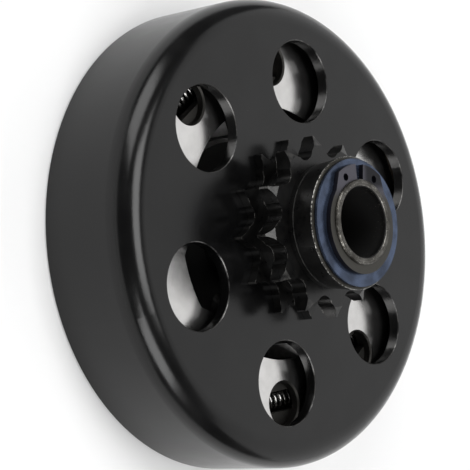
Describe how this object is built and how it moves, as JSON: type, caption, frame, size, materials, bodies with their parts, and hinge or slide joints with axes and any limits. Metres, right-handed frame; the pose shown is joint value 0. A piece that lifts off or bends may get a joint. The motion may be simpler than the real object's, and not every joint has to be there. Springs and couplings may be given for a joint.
{
  "type": "centrifugal clutch",
  "caption": "Centrifugal clutch: round drum with face holes round a chain sprocket with a collar, over two sprung shoes on a keyed hub.",
  "frame": {"origin": "centre of the drum's open rim, in the plane that it stands on", "axes": "+Z along the shaft axis from the open rim towards the sprocket and the hub's nose; +X through one face hole, and the shoes slide along X"},
  "size_m": [0.108, 0.108, 0.0452],
  "materials": {
    "drum_coating": "satin",
    "black_oxide": "satin",
    "bare_steel": "satin",
    "ground_steel": "satin",
    "blued_steel": "satin",
    "ring_steel": "satin",
    "spring_steel": "satin",
    "bronze": "satin",
    "friction_lining": "matte"
  },
  "bodies": {
    "driver": {"driver_hub": "bare_steel", "rear_plate": "drum_coating", "plate_rivet_1": "bare_steel", "plate_rivet_2": "bare_steel", "plate_rivet_3": "bare_steel", "plate_rivet_4": "bare_steel", "inner_thrust_washer": "blued_steel", "outer_thrust_washer": "blued_steel", "snap_ring": "ring_steel", "spring_1": "spring_steel", "spring_2": "spring_steel"},
    "drum": {"drum": "drum_coating", "sprocket": "black_oxide", "sprocket_bush": "bronze"},
    "shoe_a": {"shoe_a": "ground_steel", "lining_a": "friction_lining", "spring_pin_a_1": "bare_steel", "spring_pin_a_2": "bare_steel"},
    "shoe_b": {"shoe_b": "ground_steel", "lining_b": "friction_lining", "spring_pin_b_1": "bare_steel", "spring_pin_b_2": "bare_steel"}
  },
  "joints": [
    {"name": "drum_spin", "type": "hinge", "parent": "driver", "child": "drum", "pos_m": [0, 0, 0.032], "axis": [0, 0, 1], "continuous": true},
    {"name": "shoe_a_slide", "type": "slide", "parent": "driver", "child": "shoe_a", "axis": [1, 0, 0], "range_m": [0, 0.0008], "stiffness_N_per_m": 6000, "springref_m": -0.004, "deforming": ["spring_1", "spring_2"]},
    {"name": "shoe_b_slide", "type": "slide", "parent": "driver", "child": "shoe_b", "axis": [-1, 0, 0], "range_m": [0, 0.0008], "stiffness_N_per_m": 6000, "springref_m": -0.004}
  ],
  "couplings": [
    {"joint": "shoe_b_slide", "follows": "shoe_a_slide", "ratio": 1}
  ]
}
